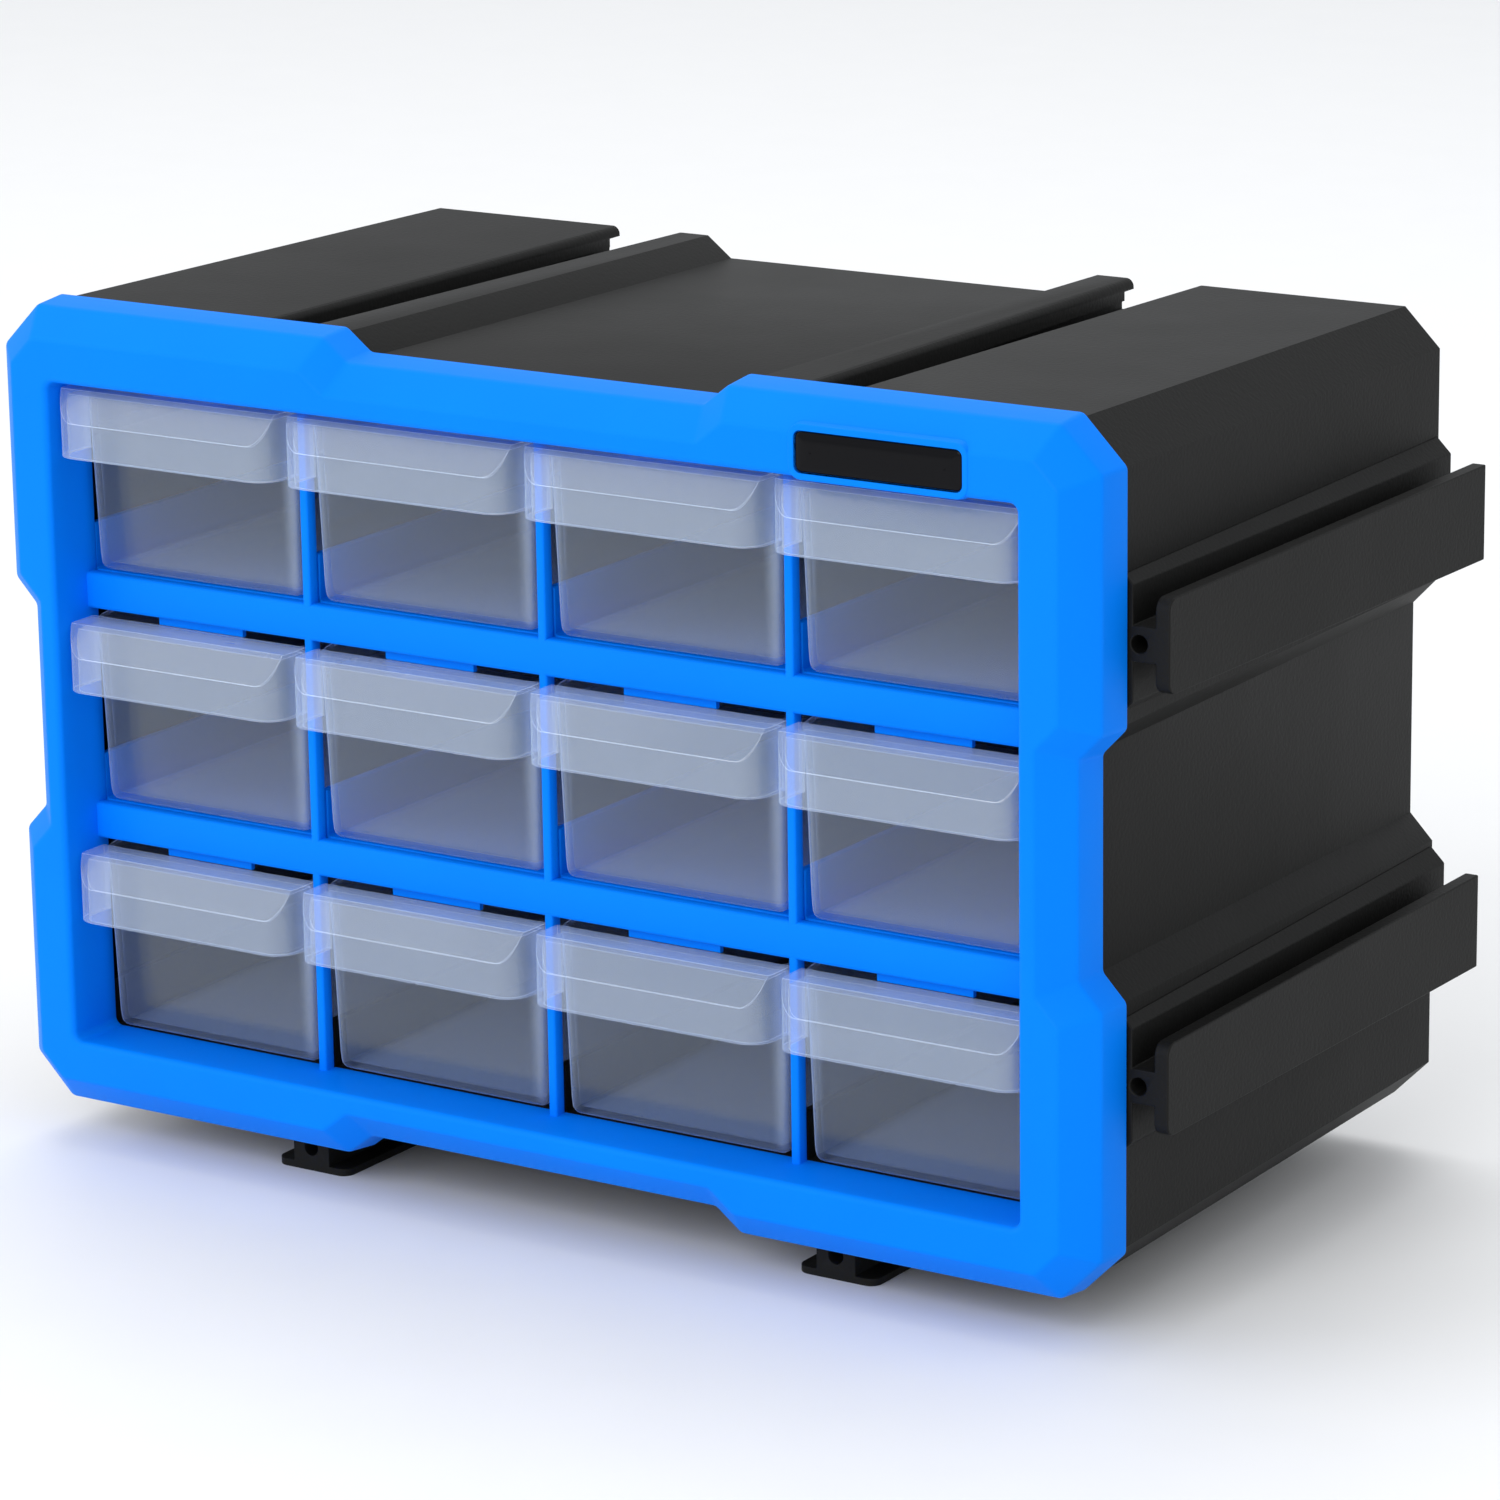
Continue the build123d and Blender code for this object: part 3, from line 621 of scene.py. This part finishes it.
BLUE = plastic("blue moulded plastic", (0.0, 0.205, 0.90), 0.48, 1.6, 0.02, Specular_IOR_Level=0.05)
BLACK = plastic("black grained plastic", (0.0065, 0.0065, 0.006), 0.58, 0.9, 0.14, mottle=0.25,
                Specular_IOR_Level=0.16)
CLEAR = clear_plastic("clear milky plastic", veil=(0.035, 0.05, 0.27, 1.0),
                      gloss=(0.025, 0.035, 0.10, 0.4), corner_milk=0.26)
# rounded edges of the drawers: thick milk, plus a painted glow that stands in for their bright edge
# highlights
CLEAR_EDGE_PAINTED_GLOW = clear_plastic("clear plastic edge with painted glow", veil=(0.75, 0.8, 0.9, 1.0),
                           gloss=(0.03, 0.04, 0.1, 0.3), painted_glow=0.75)
BADGE = plastic("gloss black badge", (0.004, 0.004, 0.005), 0.1, 6.0, 0.004, Specular_IOR_Level=0.09)

finish = {"blue_plastic": BLUE, "black_plastic": BLACK, "clear_plastic": CLEAR, "badge_plastic": BADGE}
for part in frame["record"]["subparts"]:
    mesh = frame["nodes"][part["node"]].data
    mesh.materials.clear()
    mesh.materials.append(finish[part["material_slot"]])

# Pieces ------------------------------------------------------------------------------------------

BLACK_SOFT, SHELF_SOFT = 0.45, 0.4      # widths of the rounded edges
DRAWER_SOFT, DRAWER_SOFT_ANGLE = 0.42, 26

settle("blue_front_frame", [carved(bezel_sheets(), pocket_cutter())] + grid_sheets() + ridge_sheets(),
       BLUE, "cabinet", ["front_frame"])
settle("gloss_badge", badge_sheets(), BADGE, "cabinet", ["badge"])

for node in ("case_shell", "side_rail_upper", "side_rail_lower", "base_rail_left", "base_rail_right"):
    softened(node, f"soft_{node}", BLACK, BLACK_SOFT)
for node in ("shelf_upper", "shelf_lower"):
    softened(node, f"soft_{node}", BLUE, SHELF_SOFT)

drawer_parts = drawer_sheets()
for row in range(ROWS):
    for column in range(COLUMNS):
        node = f"drawer_r{row + 1}_c{column + 1}"
        at = np.array([(column - (COLUMNS - 1) / 2) * PITCH_X, 0, ((ROWS - 1) / 2 - row) * PITCH_Z])
        parts = [(verts + at, faces) for verts, faces in drawer_parts]
        piece = settle(f"clear_{node}", parts, CLEAR, node, [node])
        mark_corners(piece, at)
        soften(piece, DRAWER_SOFT, DRAWER_SOFT_ANGLE, CLEAR_EDGE_PAINTED_GLOW)

# Floor and light, in metres -----------------------------------------------------------------------

REACH = 6.0
floor_mesh = bpy.data.meshes.new("floor")
floor_mesh.from_pydata([(-REACH, -REACH, 0), (REACH, -REACH, 0), (REACH, REACH, 0), (-REACH, REACH, 0)],
                       [], [(0, 1, 2, 3)])
floor_mesh.materials.append(plastic("pale floor", (0.86, 0.86, 0.86), 0.6, 40.0, 0.02, mottle=0.01))
floor = bpy.data.objects.new("floor", floor_mesh)
bpy.context.scene.collection.objects.link(floor)

HEART = Vector((0, 0, 0.09))            # the lamps point here


def lamp(name, position, size, power):
    """Square soft light that points at the heart of the cabinet."""
    light = bpy.data.lights.new(name, "AREA")
    light.shape, light.size, light.energy = "SQUARE", size, power
    holder = bpy.data.objects.new(name, light)
    holder.location = position
    holder.rotation_mode = "QUATERNION"
    holder.rotation_quaternion = (HEART - Vector(position)).to_track_quat("-Z", "Y")
    bpy.context.scene.collection.objects.link(holder)


lamp("key", (0.2, -2.2, 1.3), size=1.5, power=24)
lamp("fill", (-1.7, -1.0, 0.9), size=1.4, power=7)
lamp("top", (-0.3, 0.5, 2.0), size=1.5, power=14)

SKY_COLOUR, SKY_STRENGTH = (0.95, 0.97, 1.0, 1), 0.85
sky = bpy.data.worlds.new("studio")
bpy.context.scene.world = sky
sky.use_nodes = True
sky.node_tree.nodes["Background"].inputs["Color"].default_value = SKY_COLOUR
sky.node_tree.nodes["Background"].inputs["Strength"].default_value = SKY_STRENGTH
bpy.context.scene.view_settings.view_transform = "Standard"

# Camera -------------------------------------------------------------------------------------------

AZIMUTH, ELEVATION, ROLL = 33.28, 15.06, -0.85            # degrees
DISTANCE = 1169.04                      # from the camera to the point that it looks at
AIM = np.array([56.7, 0.0, 16.17])
LENS, SENSOR = 144.71904, 36.0
CLIP_START, CLIP_END = 0.05, 50         # metres

azimuth, elevation, roll = np.radians([AZIMUTH, ELEVATION, ROLL])
back = Vector((math.sin(azimuth) * math.cos(elevation), -math.cos(azimuth) * math.cos(elevation),
               math.sin(elevation)))
right = Vector((math.cos(azimuth), math.sin(azimuth), 0))
up = back.cross(right)
right, up = right * math.cos(roll) + up * math.sin(roll), up * math.cos(roll) - right * math.sin(roll)
lens = bpy.data.cameras.new("camera")
lens.sensor_width, lens.lens = SENSOR, LENS
lens.clip_start, lens.clip_end = CLIP_START, CLIP_END
camera = bpy.data.objects.new("camera", lens)
camera.location = Vector((AIM / PER_METRE + MIDDLE).tolist()) + back * (DISTANCE / PER_METRE)
camera.rotation_mode = "QUATERNION"
camera.rotation_quaternion = Matrix((right, up, back)).transposed().to_quaternion()
bpy.context.scene.collection.objects.link(camera)
bpy.context.scene.camera = camera
